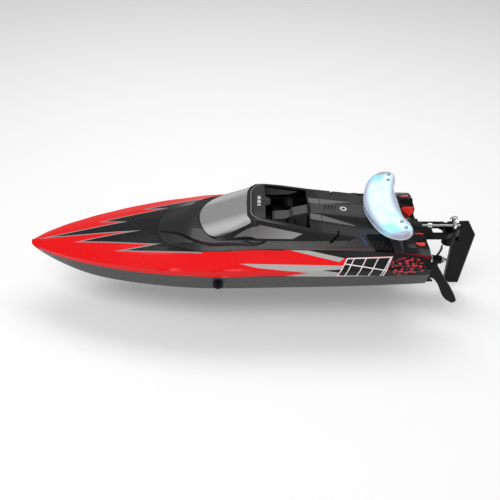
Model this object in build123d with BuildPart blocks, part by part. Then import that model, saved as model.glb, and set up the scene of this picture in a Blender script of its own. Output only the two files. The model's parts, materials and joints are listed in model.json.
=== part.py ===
from build123d import *
import math
import os

os.makedirs("parts", exist_ok=True)

# ---------------------------------------------------------------------------
# Driving dimensions, in millimetres. +X points aft, +Y to starboard, +Z up.
# The origin is on the flat underside of the keel pad, on the centreline.
# ---------------------------------------------------------------------------
STEM_X = -214.0          # where the bow's planform would close to a point
TIP_X = -212.4           # blunt front end of the bow
BOW_LENGTH = 190.0       # from the stem to where the sides turn parallel
TRANSOM_X = 161.0        # flat stern face
HALF_BEAM = 59.0
KEEL_HALF = 7.0          # half-width of the hull's flat bottom strip
PAD_HALF = 5.0           # half-width of the keel pad, which stands proud of the strip
PAD_DROP = 0.3
PAD_END_X = 158.0
RAIL_Y = 30.0            # spray rails on the bottom
PAD_START_X = -40.0      # forward end of the flat keel pad
WALL = 2.0               # hull skin
FLOOR_Z = WALL + 0.06    # inside bottom of the hull, over the keel pad
SKIN = 1.8               # deck and hatch skin
SEAM_GAP = 0.08          # glue line between hull and deck

SHELF_Z = 43.0           # underside of the deck's inner shelf
SHELF_T = 1.5
SEAL_T = 1.5
HATCH_FRONT_X = -88.0
HATCH_REAR_X = 137.0
GAP = 0.4                # gap all round the hatch

DRIVE_TILT = 6.0         # the propeller shaft drops aft by this many degrees
HUB = (188.7, 0.0, 6.5)  # centre of the propeller hub
SHAFT_R = 2.0
RUN = 0.05               # running clearance on a radius
PROP_R = 18.0

PIVOT_X = 193.0          # rudder pin
SERVO_X = 112.0          # servo output shaft
ARM = 6.0                # throw of the steering arm and of the servo horn
ROD_Z = 54.8
ROD_R = 1.0


# ---------------------------------------------------------------------------
# Hull lines
# ---------------------------------------------------------------------------
def fullness(x):
    """0 at the stem, 1 where the sides turn parallel."""
    return max(0.0, min(1.0, (x - STEM_X) / BOW_LENGTH))


def aft_share(x):
    """0 amidships, 1 at the transom."""
    return max(0.0, (x - 60.0) / (TRANSOM_X - 60.0))


def half_beam(x):
    bow = (1 - (1 - fullness(x)) ** 1.7) ** 0.75
    return HALF_BEAM * bow - 3.0 * aft_share(x) ** 2


def seam_z(x):
    return 28.5 + 9.7 * fullness(x) ** 0.9


def knuckle_z(x):
    return seam_z(x) + 7.0 * fullness(x) ** 0.3 - 2.5 * aft_share(x) ** 2


def chine_z(x):
    rise = max(0.0, (-140.0 - x) / 72.0) ** 1.5
    return 15.0 + 13.0 * rise + 7.0 * max(0.0, x + 140.0) / 300.0


def keel_z(x):
    return 28.0 * max(0.0, (PAD_START_X - x) / 173.0) ** 2.2


def bottom_z(x, y):
    """Height of the hull's bottom between the keel pad and the chine."""
    share = (y - KEEL_HALF) / (0.9 * half_beam(x) - KEEL_HALF)
    return keel_z(x) + share * (chine_z(x) - keel_z(x))


def crown_z(x):
    """Height of the foredeck's centreline."""
    return 50.3 - 0.0788 * max(0.0, HATCH_FRONT_X - x) ** 1.122


def mirrored(points):
    """Close a half-section, given from the keel up to the centreline, into a full ring."""
    return points + [(-y, z) for y, z in reversed(points) if y > 1e-6]


def hull_ring(x, skin):
    beam = half_beam(x)
    pad = KEEL_HALF * min(1.0, beam / 40.0)
    top = 8.0 if skin else 0.0
    return mirrored([
        (max(pad - 0.3 * skin, 0.3), keel_z(x) + max(skin, PAD_DROP)),
        (0.9 * beam - skin, chine_z(x) + 0.6 * skin),
        (beam - skin, seam_z(x)),
    ] + ([(beam - skin, seam_z(x) + top)] if skin else []))


# Half-sections of the deck and hatch surface aft of the foredeck:
# x: (joint y, z), (shoulder y, z), (inner y, z), centreline z
DECK_SECTIONS = {
    -50.0: ((39.0, 50.5), (31.0, 54.5), (16.0, 57.0), 57.8),
    0.0: ((42.0, 54.5), (34.5, 59.5), (18.0, 61.0), 61.5),
    60.0: ((43.0, 55.0), (36.0, 61.0), (22.0, 61.5), 61.5),
    110.0: ((45.5, 55.0), (34.5, 63.5), (28.0, 63.2), 59.2),
    137.0: ((47.5, 55.0), (37.0, 61.0), (25.0, 60.5), 58.5),
    161.0: ((49.0, 53.5), (41.0, 55.8), (24.0, 54.5), 54.0),
}


def deck_half(x):
    if x in DECK_SECTIONS:
        joint, shoulder, inner, centre = DECK_SECTIONS[x]
        return [joint, shoulder, inner, (0.0, centre)]
    beam = half_beam(x)
    low = knuckle_z(x)
    high = crown_z(x)
    return [(beam * u, low + (high - low) * (1 - u * u)) for u in (0.72, 0.5, 0.27, 0.0)]


def deck_ring(x, skin):
    beam = half_beam(x)
    foot = seam_z(x) + SEAM_GAP - (4.0 if skin else 0.0)
    ring = [(beam - skin, foot), (beam + 0.3 - skin, knuckle_z(x) - 0.4 * skin)]
    for y, z in deck_half(x):
        ring.append((max(y - 0.5 * skin, 0.0), z - skin))
    return mirrored(ring)


HULL_STATIONS = (TIP_X, -200.0, -180.0, -155.0, -125.0, -88.0, -50.0, 0.0, 60.0, 110.0,
                 137.0, TRANSOM_X)
HULL_INNER = (-188.0, -170.0, -150.0, -125.0, -88.0, -50.0, 0.0, 60.0, 110.0, TRANSOM_X - WALL)
DECK_STATIONS = (TIP_X, -200.0, -180.0, -155.0, -125.0, -88.0) + tuple(DECK_SECTIONS)
DECK_INNER = (-188.0, -170.0, -150.0, -125.0, -88.0) + tuple(DECK_SECTIONS)


def ring_loft(stations, ring, *args, ruled=False):
    """Private solid through the rings of all the stations."""
    with BuildPart(mode=Mode.PRIVATE) as body:
        for x in stations:
            with BuildSketch(Plane.YZ.offset(x)):
                with BuildLine():
                    Polyline(*ring(x, *args), close=True)
                make_face()
        loft(ruled=ruled)
    return body.part


def block(x0, x1, y0, y1, z0, z1):
    """Private box between two corners."""
    centre = Location(((x0 + x1) / 2, (y0 + y1) / 2, (z0 + z1) / 2))
    return centre * Box(x1 - x0, y1 - y0, z1 - z0, mode=Mode.PRIVATE)


def plan_prism(points, z0, z1):
    """Private prism with a polygonal plan."""
    with BuildPart(mode=Mode.PRIVATE) as body:
        with BuildSketch(Plane.XY.offset(z0)):
            with BuildLine():
                Polyline(*points, close=True)
            make_face()
        extrude(amount=z1 - z0)
    return body.part


def side_prism(points, y0, y1):
    """Private prism with a polygonal side view, from y0 to y1."""
    with BuildPart(mode=Mode.PRIVATE) as body:
        with BuildSketch(Plane.XZ.offset(-y1)):
            with BuildLine():
                Polyline(*points, close=True)
            make_face()
        extrude(amount=y1 - y0)
    return body.part


def both_sides(points):
    """Close a half-outline, given from front to rear with y > 0, about the centreline."""
    return list(points) + [(x, -y) for x, y in reversed(points) if y > 1e-6]


HATCH_EDGE = ((-80.0, 25.0), (-55.0, 37.0), (0.0, 42.0), (60.0, 43.2), (110.0, 45.6))


def hatch_prism(inset, z0=30.0, z1=90.0):
    """Private prism inside the hatch joint, moved in by inset."""
    side = [(x + (inset if y < 30 else 0.0), y - inset) for x, y in HATCH_EDGE]
    side.append((HATCH_REAR_X - inset, 47.3 - inset))
    port = [(x, -y) for x, y in reversed(side)]
    with BuildPart(mode=Mode.PRIVATE) as body:
        with BuildSketch(Plane.XY.offset(z0)):
            with BuildLine():
                ThreePointArc(port[-1], (HATCH_FRONT_X + inset, 0.0), side[0])
                Spline(*side)
                Line(side[-1], port[0])
                Spline(*port)
            make_face()
        extrude(amount=z1 - z0)
    return body.part


deck_solid = ring_loft(DECK_STATIONS, deck_ring, 0.0)
deck_hollow = ring_loft(DECK_INNER, deck_ring, SKIN) & block(-250, TRANSOM_X - SKIN, -80, 80, 0, 90)


# ---------------------------------------------------------------------------
# Drive line: planes square to the shaft
# ---------------------------------------------------------------------------
TILT = math.radians(DRIVE_TILT)
AXIS = (math.cos(TILT), 0.0, -math.sin(TILT))


def drive_plane(forward):
    """Plane square to the shaft, this far forward of the hub; its normal points aft."""
    origin = (HUB[0] - forward * AXIS[0], 0.0, HUB[2] - forward * AXIS[2])
    return Plane(origin=origin, x_dir=(0, 1, 0), z_dir=AXIS)


def rod(forward, length, radius, bore=0.0):
    """Private cylinder or tube on the drive line, running aft from a plane."""
    with BuildPart(mode=Mode.PRIVATE) as body:
        with BuildSketch(drive_plane(forward)):
            Circle(radius)
            if bore:
                Circle(bore, mode=Mode.SUBTRACT)
        extrude(amount=length)
    return body.part


# ---------------------------------------------------------------------------
# Hull and deck
# ---------------------------------------------------------------------------
with BuildPart() as hull_lower:
    add(ring_loft(HULL_STATIONS, hull_ring, 0.0))
    add(ring_loft(HULL_INNER, hull_ring, WALL), mode=Mode.SUBTRACT)
    add(side_prism(((PAD_START_X, 0.0), (PAD_START_X - 32.0, 1.1), (PAD_START_X, 1.4), (PAD_END_X, 1.4),
                    (PAD_END_X, 0.0)), -PAD_HALF, PAD_HALF))
    # spray rails along the bottom, each side
    for side in (-1, 1):
        for x in (-60.0, 0.0, 60.0, 150.0):
            with BuildSketch(Plane.YZ.offset(x)):
                with Locations((side * RAIL_Y, bottom_z(x, RAIL_Y))):
                    Rectangle(3.0, 2.4)
        loft()
    # hole for the stern tube, through the transom
    add(rod(60.0, 60.0, 3.3), mode=Mode.SUBTRACT)
    # hole for the water outlet, through the port side
    with BuildSketch(Plane.XZ.offset(40)):
        with Locations((-29.0, 27.5)):
            Circle(2.5)
    extrude(amount=25, mode=Mode.SUBTRACT)
hull_lower.part.label = "hull_lower"
export_step(hull_lower.part, "parts/hull_lower.step")

GLAND_X = 142.0
BOOT_X = 147.5
RAMP = ((139.0, 58.6), (147.0, 55.5), (157.0, 47.5), (170.0, 47.5))   # stern well floor, x and z
WELL_HALF = 21.0
with BuildPart() as deck_upper:
    add(deck_solid)
    add(deck_hollow, mode=Mode.SUBTRACT)
    add(hatch_prism(0.0), mode=Mode.SUBTRACT)
    # inner shelf and the coaming that rises from it round the hatch
    add(deck_solid & block(-95, TRANSOM_X, -80, 80, SHELF_Z, SHELF_Z + SHELF_T))
    add(deck_solid & (hatch_prism(-SKIN, SHELF_Z) - hatch_prism(0.0, 0.0)))
    # stern well: the deck drops to a low landing between the two quarters
    add(side_prism(RAMP + ((170.0, 70.0), (139.0, 70.0)), -WELL_HALF, WELL_HALF), mode=Mode.SUBTRACT)
    floor = RAMP[:3] + ((TRANSOM_X, 47.5), (TRANSOM_X, 45.5), (156.0, 45.5), (146.0, 53.5), (139.0, 56.4))
    add(side_prism(floor, -WELL_HALF - SKIN, WELL_HALF + SKIN) & deck_solid)
    for side in (-1, 1):
        wall = sorted((side * WELL_HALF, side * (WELL_HALF + SKIN)))
        add(side_prism(((139, 57), (146, 53.5), (156, 45.5), (TRANSOM_X, 45.5), (TRANSOM_X, 70),
                        (139, 70)), *wall) & deck_solid)
    # gland that the steering rod and its boot come out of
    gland = Plane.YZ.offset(GLAND_X)
    with BuildSketch(gland):
        with Locations((-ARM + 0.4, ROD_Z)):
            Circle(5.6)
        with Locations((-ARM + 0.4, ROD_Z - 4)):
            Rectangle(11.2, 8.0)
    extrude(amount=BOOT_X - GLAND_X)
    with BuildSketch(Plane.YZ.offset(BOOT_X)):
        with Locations((-ARM + 0.4, ROD_Z)):
            Circle(5.75)
    extrude(amount=15, mode=Mode.SUBTRACT)
    # battery bay, servo and steering rod openings
    add(block(-58, 54, -24.5, 24.5, 40, 46), mode=Mode.SUBTRACT)
    add(block(SERVO_X - 17, SERVO_X + 7, -6.5, 6.5, 40, 46), mode=Mode.SUBTRACT)
    with BuildSketch(Plane.YZ.offset(136)):
        with Locations((-ARM + 0.4, ROD_Z)):
            Circle(2.6)
    extrude(amount=24, mode=Mode.SUBTRACT)
deck_upper.part.label = "deck_upper"
export_step(deck_upper.part, "parts/deck_upper.step")

with BuildPart() as hatch_seal:
    add(hatch_prism(GAP + 0.1, SHELF_Z + SHELF_T, SHELF_Z + SHELF_T + SEAL_T))
    add(hatch_prism(GAP + 3.6, SHELF_Z, SHELF_Z + 8), mode=Mode.SUBTRACT)
hatch_seal.part.label = "hatch_seal"
export_step(hatch_seal.part, "parts/hatch_seal.step")

LID_Z = SHELF_Z + SHELF_T
LID_X = -2.0
with BuildPart() as inner_lid:
    with BuildSketch(Plane.XY.offset(LID_Z)):
        with Locations((LID_X, 0)):
            RectangleRounded(120, 57, 5)
    extrude(amount=1.6)
    with BuildSketch(Plane.XY.offset(LID_Z)):
        with Locations((LID_X, 0)):
            RectangleRounded(111, 48, 3)
            RectangleRounded(107, 44, 2, mode=Mode.SUBTRACT)
    extrude(amount=-1.5)
    with BuildSketch(Plane.XY.offset(LID_Z + 1.6)):
        with Locations((LID_X - 48, 0)):
            SlotOverall(22, 8, rotation=90)
    extrude(amount=1.4)
inner_lid.part.label = "inner_lid"
export_step(inner_lid.part, "parts/inner_lid.step")

# ---------------------------------------------------------------------------
# Drive train
# ---------------------------------------------------------------------------
MOTOR_FRONT = 168.0      # forward end of the motor can, measured forward of the hub
MOTOR_LEN = 46.0
MOTOR_R = 14.0
MOTOR_AFT = MOTOR_FRONT - MOTOR_LEN
with BuildPart() as motor_can:
    add(rod(MOTOR_FRONT, MOTOR_LEN, MOTOR_R))
    add(rod(MOTOR_FRONT - 2.0, MOTOR_LEN - 4.0, 10.0), mode=Mode.SUBTRACT)
    add(rod(MOTOR_FRONT + 1.0, MOTOR_LEN + 2.0, 2.1), mode=Mode.SUBTRACT)
    with BuildSketch(drive_plane(MOTOR_FRONT)):
        with PolarLocations(8.5, 6):
            Circle(1.6)
    extrude(amount=1.2, mode=Mode.SUBTRACT)
motor_can.part.label = "motor_can"
export_step(motor_can.part, "parts/motor_can.step")

with BuildPart() as motor_rotor:
    add(rod(MOTOR_FRONT - 4.0, MOTOR_LEN - 8.0, 9.4))
    add(rod(MOTOR_FRONT + 2.0, MOTOR_LEN + 14.0, SHAFT_R))
motor_rotor.part.label = "motor_rotor"
export_step(motor_rotor.part, "parts/motor_rotor.step")

with BuildPart() as cooling_jacket:
    add(rod(MOTOR_FRONT - 6.0, 26.0, 16.2))
    add(rod(MOTOR_FRONT - 5.0, 28.0, MOTOR_R), mode=Mode.SUBTRACT)
    add(rod(MOTOR_FRONT - 7.0, 30.0, MOTOR_R), mode=Mode.SUBTRACT)
    for forward, tilt in ((MOTOR_FRONT - 10.0, -60.0), (MOTOR_FRONT - 26.0, 60.0)):
        nipple = Plane(drive_plane(forward).location * Rot(0, 0, 90 + tilt) * Rot(0, 90, 0))
        with BuildSketch(nipple.offset(15.0)):
            Circle(1.6)
        extrude(amount=6.5)
        with BuildSketch(nipple.offset(15.5)):
            Circle(0.9)
        extrude(amount=6.5, mode=Mode.SUBTRACT)
cooling_jacket.part.label = "cooling_jacket"
export_step(cooling_jacket.part, "parts/cooling_jacket.step")

with BuildPart() as motor_mount:
    with BuildSketch(drive_plane(MOTOR_AFT)):
        with Locations((0, 1.5)):
            Rectangle(30, 27)
        Circle(5.0, mode=Mode.SUBTRACT)
        with PolarLocations(8.5, 4, start_angle=45):
            Circle(1.6, mode=Mode.SUBTRACT)
    extrude(amount=3.0)
    foot_x = HUB[0] - MOTOR_AFT * AXIS[0]
    add(block(foot_x - 18, foot_x + 3.5, -11, 11, 4.9, 8.2) - rod(MOTOR_FRONT, MOTOR_LEN, 16.6))
    add(block(foot_x - 18, foot_x + 3.5, -4, 4, FLOOR_Z, 5.2) - rod(MOTOR_FRONT, MOTOR_LEN, 16.6))
motor_mount.part.label = "motor_mount"
export_step(motor_mount.part, "parts/motor_mount.step")

COUPLER_FWD = MOTOR_AFT - 5.0
with BuildPart() as shaft_coupler:
    add(rod(COUPLER_FWD, 17.0, 4.5))
    add(rod(COUPLER_FWD + 1.0, 20.0, SHAFT_R), mode=Mode.SUBTRACT)
    for forward in (COUPLER_FWD - 4.0, COUPLER_FWD - 13.0):
        with BuildSketch(Plane(drive_plane(forward).location * Rot(0, 90, 0)).offset(2.4)):
            Circle(1.2)
        extrude(amount=4.0, mode=Mode.SUBTRACT)
    chamfer(shaft_coupler.faces().sort_by(Axis.X)[0].edges(), 0.5)
shaft_coupler.part.label = "shaft_coupler"
export_step(shaft_coupler.part, "parts/shaft_coupler.step")

SHAFT_FWD = MOTOR_AFT - 14.0
with BuildPart() as drive_shaft:
    add(rod(SHAFT_FWD, SHAFT_FWD + 4.6, SHAFT_R))
drive_shaft.part.label = "drive_shaft"
export_step(drive_shaft.part, "parts/drive_shaft.step")

TUBE_FWD = 98.0
TUBE_AFT = 22.0
with BuildPart() as stern_tube:
    add(rod(TUBE_FWD, TUBE_FWD - TUBE_AFT, 3.0, 2.45))
stern_tube.part.label = "stern_tube"
export_step(stern_tube.part, "parts/stern_tube.step")

with BuildPart() as shaft_bushes:
    add(rod(TUBE_FWD - 0.5, 7.0, 2.45, SHAFT_R + RUN))
    add(rod(TUBE_AFT, 9.0, 4.0, SHAFT_R + RUN))
shaft_bushes.part.label = "shaft_bushes"
export_step(shaft_bushes.part, "parts/shaft_bushes.step")

with BuildPart() as shaft_strut:
    add(block(TRANSOM_X, TRANSOM_X + 2.5, -10, 10, 3.0, 19.0))
    add(rod(27.4, 15.0, 5.4))
    add(side_prism(((TRANSOM_X, 18.0), (TRANSOM_X + 9, 11.5), (TRANSOM_X + 9, 6.0), (TRANSOM_X, 4.0)),
                   -1.5, 1.5))
    add(block(TRANSOM_X - 20, TRANSOM_X, -20, 20, 0, 30), mode=Mode.SUBTRACT)
    add(rod(40.0, 40.0 - TUBE_AFT, 3.0), mode=Mode.SUBTRACT)
    add(rod(TUBE_AFT, 9.0, 4.0), mode=Mode.SUBTRACT)
    add(rod(TUBE_AFT - 8.0, 9.0, 2.6), mode=Mode.SUBTRACT)
    with BuildSketch(Plane.YZ.offset(TRANSOM_X)):
        with Locations((-7.4, 15.8), (7.4, 15.8), (-7.4, 6.0), (7.4, 6.0)):
            Circle(1.0)
    extrude(amount=2.5, mode=Mode.SUBTRACT)
shaft_strut.part.label = "shaft_strut"
export_step(shaft_strut.part, "parts/shaft_strut.step")

with BuildPart() as drive_dog:
    add(rod(11.6, 5.0, 3.6))
    with BuildSketch(drive_plane(6.6)):
        Rectangle(7.2, 2.0)
    extrude(amount=1.6)
    add(rod(13.0, 8.5, SHAFT_R), mode=Mode.SUBTRACT)
drive_dog.part.label = "drive_dog"
export_step(drive_dog.part, "parts/drive_dog.step")

BLADE_T = 1.3
with BuildPart() as propeller:
    add(rod(6.6, 9.2, 4.2))
    for spin in (0, 180):
        root = Plane(drive_plane(2.2).location * Rot(0, 0, 90 + spin) * Rot(0, 90, 0) * Rot(0, 0, 56))
        tip = Plane(drive_plane(1.4).location * Rot(0, 0, 90 + spin) * Rot(0, 90, 0) * Rot(0, 0, 74))
        with BuildSketch(root.offset(3.0)):
            Rectangle(6.5, BLADE_T)
        with BuildSketch(root.offset(9.5)):
            Rectangle(10.0, BLADE_T)
        with BuildSketch(tip.offset(14.5)):
            Rectangle(8.0, BLADE_T * 0.8)
        with BuildSketch(tip.offset(PROP_R)):
            Rectangle(3.0, BLADE_T * 0.6)
        loft()
    with BuildSketch(drive_plane(6.6)):
        Rectangle(7.4, 2.2)
    extrude(amount=1.7, mode=Mode.SUBTRACT)
    add(rod(7.0, 12.0, SHAFT_R), mode=Mode.SUBTRACT)
propeller.part.label = "propeller"
export_step(propeller.part, "parts/propeller.step")

with BuildPart() as prop_nut:
    with BuildSketch(drive_plane(-2.6)):
        RegularPolygon(3.4, 6)
    extrude(amount=2.6)
    with BuildSketch(drive_plane(-5.2)):
        Circle(3.0)
    with BuildSketch(drive_plane(-8.2)):
        Circle(1.6)
    loft()
    add(rod(3.0, 7.6, SHAFT_R), mode=Mode.SUBTRACT)
prop_nut.part.label = "prop_nut"
export_step(prop_nut.part, "parts/prop_nut.step")

# ---------------------------------------------------------------------------
# Power and control inside the hull
# ---------------------------------------------------------------------------
with BuildPart() as battery_tray:
    add(block(-98, -12, -13, 13, 6.4, 7.8))
    add(block(-36, -14, -4, 4, FLOOR_Z, 6.4))
    add(block(-70, -50, -3, 3, keel_z(-70) + WALL + 0.5, 6.4))
    for side in (-1, 1):
        add(block(-98, -12, *sorted((side * 13.0, side * 11.8)), 7.8, 10.5))
battery_tray.part.label = "battery_tray"
export_step(battery_tray.part, "parts/battery_tray.step")

with BuildPart() as battery:
    add(block(-94, -16, -11.5, 11.5, 7.9, 29.0))
    fillet(battery.edges().filter_by(Axis.X), 3.0)
    fillet(battery.faces().sort_by(Axis.X)[0].edges(), 1.2)
    fillet(battery.faces().sort_by(Axis.X)[-1].edges(), 1.2)
battery.part.label = "battery"
export_step(battery.part, "parts/battery.step")

STRAP_X = -62.0
with BuildPart() as battery_strap:
    with BuildSketch(Plane.YZ.offset(STRAP_X)):
        with Locations((0, 20.9)):
            Rectangle(25.6, 20.8)
        with Locations((0, 19.8)):
            Rectangle(23.2, 18.6, mode=Mode.SUBTRACT)
        with Locations((0, 13.0)):
            Rectangle(40.0, 5.0, mode=Mode.SUBTRACT)
    extrude(amount=14)
    fillet(battery_strap.edges().filter_by(Axis.X).group_by(Axis.Z)[-1], 3.4)
battery_strap.part.label = "battery_strap"
export_step(battery_strap.part, "parts/battery_strap.step")

with BuildPart() as speed_control:
    add(block(-9, 15, -13, 13, 7.2, 19.0))
    fillet(speed_control.edges().filter_by(Axis.Z), 1.5)
    with BuildSketch(Plane.XY.offset(19.0)):
        with Locations((3.0, 0)):
            with GridLocations(3.2, 0, 6, 1):
                Rectangle(1.4, 20.0)
    extrude(amount=3.5)
    add(block(-6, 12, -4, 4, FLOOR_Z, 7.2))
speed_control.part.label = "speed_control"
export_step(speed_control.part, "parts/speed_control.step")

with BuildPart() as receiver_box:
    add(block(76, 96, 22, 44, 21.0, 32.0))
    fillet(receiver_box.edges().filter_by(Axis.Z), 2.0)
    add(block(80, 92, 30, 36, bottom_z(92, 36) + WALL + 0.4, 21.0))
receiver_box.part.label = "receiver_box"
export_step(receiver_box.part, "parts/receiver_box.step")

# ---------------------------------------------------------------------------
# Steering
# ---------------------------------------------------------------------------
SERVO_TOP = 47.5
with BuildPart() as servo:
    add(block(SERVO_X - 16, SERVO_X + 6, -5.9, 5.9, 23.0, SERVO_TOP))
    add(block(SERVO_X - 21, SERVO_X + 11, -5.9, 5.9, SHELF_Z + SHELF_T, SHELF_Z + SHELF_T + 1.8))
    with BuildSketch(Plane.XY.offset(SERVO_TOP)):
        with Locations((SERVO_X, 0)):
            Circle(5.6)
    extrude(amount=2.0)
    with BuildSketch(Plane.XY.offset(SERVO_TOP + 2.0)):
        with Locations((SERVO_X, 0)):
            Circle(2.4)
    extrude(amount=3.0)
servo.part.label = "servo"
export_step(servo.part, "parts/servo.step")

with BuildPart() as servo_screws:
    for x in (SERVO_X - 18.6, SERVO_X + 8.6):
        with BuildSketch(Plane.XY.offset(SHELF_Z + SHELF_T + 1.8)):
            with Locations((x, -3.4), (x, 3.4)):
                Circle(1.6)
        extrude(amount=1.4)
servo_screws.part.label = "servo_screws"
export_step(servo_screws.part, "parts/servo_screws.step")

HORN_Z = SERVO_TOP + 2.6
with BuildPart() as servo_horn:
    with BuildSketch(Plane.XY.offset(HORN_Z)):
        with Locations((SERVO_X, 0)):
            Circle(3.9)
        with Locations((SERVO_X, -ARM)):
            Circle(2.6)
        with Locations((SERVO_X, -ARM / 2)):
            Rectangle(4.6, ARM)
    extrude(amount=1.6)
    with BuildSketch(Plane.XY.offset(HORN_Z)):
        with Locations((SERVO_X, 0)):
            Circle(2.4 + RUN)
        with Locations((SERVO_X, -ARM)):
            Circle(1.1 + RUN)
    extrude(amount=1.6, mode=Mode.SUBTRACT)
servo_horn.part.label = "servo_horn"
export_step(servo_horn.part, "parts/servo_horn.step")

ROD_STOP_X = 169.0
with BuildPart() as pushrod:
    with BuildSketch(Plane.YZ.offset(SERVO_X - 3)):
        with Locations((-ARM, ROD_Z)):
            Circle(ROD_R)
    extrude(amount=PIVOT_X + 5 - SERVO_X + 3)
pushrod.part.label = "pushrod"
export_step(pushrod.part, "parts/pushrod.step")

STOP_BASE = 53.4
with BuildPart() as rod_stops:
    for x, foot in ((SERVO_X, HORN_Z - 0.6), (PIVOT_X, STOP_BASE - 2.6)):
        with BuildSketch(Plane.XY.offset(STOP_BASE - 0.9)):
            with Locations((x, -ARM)):
                Circle(2.3)
        extrude(amount=4.0)
        with BuildSketch(Plane.XY.offset(foot)):
            with Locations((x, -ARM)):
                Circle(1.1)
        extrude(amount=STOP_BASE - foot)
    with BuildSketch(Plane.XY.offset(STOP_BASE + 3.1)):
        with Locations((PIVOT_X, -ARM)):
            Circle(1.4)
    extrude(amount=1.2)
    with BuildSketch(Plane.YZ.offset(ROD_STOP_X - 2)):
        with Locations((-ARM, ROD_Z)):
            Circle(2.2)
    extrude(amount=4)
    with BuildSketch(Plane.YZ.offset(SERVO_X - 5)):
        with Locations((-ARM, ROD_Z)):
            Circle(ROD_R)
    extrude(amount=PIVOT_X + 8 - SERVO_X + 5, mode=Mode.SUBTRACT)
rod_stops.part.label = "rod_stops"
export_step(rod_stops.part, "parts/rod_stops.step")

with BuildPart() as rod_boot:
    with BuildSketch(Plane.XZ.offset(ARM - 0.4)):
        with BuildLine():
            Polyline((BOOT_X, ROD_Z + 2.3), (BOOT_X, ROD_Z + 5.6), (BOOT_X + 2, ROD_Z + 5.6),
                     (BOOT_X + 3, ROD_Z + 4.0), (BOOT_X + 4.5, ROD_Z + 5.0), (BOOT_X + 6, ROD_Z + 3.7),
                     (BOOT_X + 7.5, ROD_Z + 4.6), (BOOT_X + 9, ROD_Z + 3.4), (BOOT_X + 10.5, ROD_Z + 4.1),
                     (BOOT_X + 12, ROD_Z + 3.0), (BOOT_X + 14, ROD_Z + 3.0), (BOOT_X + 14, ROD_Z + 2.3),
                     close=True)
        make_face()
    revolve(axis=Axis((0, -ARM + 0.4, ROD_Z), (1, 0, 0)))
rod_boot.part.label = "rod_boot"
export_step(rod_boot.part, "parts/rod_boot.step")

BRACKET_TOP = 46.6
BRACKET_BASE = 41.0
BOSS_BASE = 34.0
BOSS_R = 6.5
with BuildPart() as rudder_bracket:
    with BuildSketch(Plane.XY.offset(BRACKET_BASE)):
        with BuildLine():
            Polyline((TRANSOM_X, -12), (TRANSOM_X + 3, -10.5), (PIVOT_X - 6, -10.5), (PIVOT_X, -6.4),
                     (PIVOT_X, 6.4), (PIVOT_X - 6, 10.5), (TRANSOM_X + 3, 10.5), (TRANSOM_X, 12), close=True)
        make_face()
        with BuildLine():
            Polyline((174, -6.5), (183, -6.5), (186, -3.5), (186, 3.5), (183, 6.5), (174, 6.5), close=True)
        make_face(mode=Mode.SUBTRACT)
    extrude(amount=BRACKET_TOP - BRACKET_BASE)
    with BuildSketch(Plane.XY.offset(BOSS_BASE)):
        with Locations((PIVOT_X, 0)):
            Circle(BOSS_R)
    extrude(amount=BRACKET_TOP - BOSS_BASE)
    add(block(TRANSOM_X, TRANSOM_X + 2.5, -15, 15, 33.0, 46.6))
    add(side_prism(((TRANSOM_X, 34), (TRANSOM_X + 2, 34), (TRANSOM_X + 12, BRACKET_BASE + 1),
                    (TRANSOM_X, BRACKET_BASE + 1)), -2, 2))
    with BuildSketch(Plane.XY.offset(BOSS_BASE)):
        with Locations((PIVOT_X, 0)):
            Circle(1.5)
    extrude(amount=30, mode=Mode.SUBTRACT)
rudder_bracket.part.label = "rudder_bracket"
export_step(rudder_bracket.part, "parts/rudder_bracket.step")

with BuildPart() as bracket_screws:
    with BuildSketch(Plane.YZ.offset(TRANSOM_X + 2.5)):
        with Locations((-12.6, 43.6), (12.6, 43.6), (-12.6, 36.0), (12.6, 36.0),
                       (-7.4, 15.8), (7.4, 15.8), (-7.4, 6.0), (7.4, 6.0)):
            Circle(1.7)
            RegularPolygon(0.9, 6, mode=Mode.SUBTRACT)
    extrude(amount=1.3)
bracket_screws.part.label = "bracket_screws"
export_step(bracket_screws.part, "parts/bracket_screws.step")

PIN_R = 1.5
PIN_TOP = 56.5
with BuildPart() as rudder_pin:
    with BuildSketch(Plane.XY.offset(27.5)):
        with Locations((PIVOT_X, 0)):
            Circle(PIN_R)
    extrude(amount=PIN_TOP - 27.5)
    with BuildSketch(Plane.XY.offset(26.3)):
        with Locations((PIVOT_X, 0)):
            Circle(2.6)
    extrude(amount=1.2)
rudder_pin.part.label = "rudder_pin"
export_step(rudder_pin.part, "parts/rudder_pin.step")

with BuildPart() as pin_ring:
    with BuildSketch(Plane.XY.offset(PIN_TOP)):
        with Locations((PIVOT_X, 0)):
            Circle(1.9)
    extrude(amount=1.4)
    with BuildSketch(Plane.XY.offset(PIN_TOP + 1.0)):
        with Locations((PIVOT_X - 3.2, 0)):
            Circle(0.6)
    revolve(axis=Axis((PIVOT_X, 0, PIN_TOP + 1.0), (0, 1, 0)), revolution_arc=180)
pin_ring.part.label = "pin_ring"
export_step(pin_ring.part, "parts/pin_ring.step")

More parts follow.
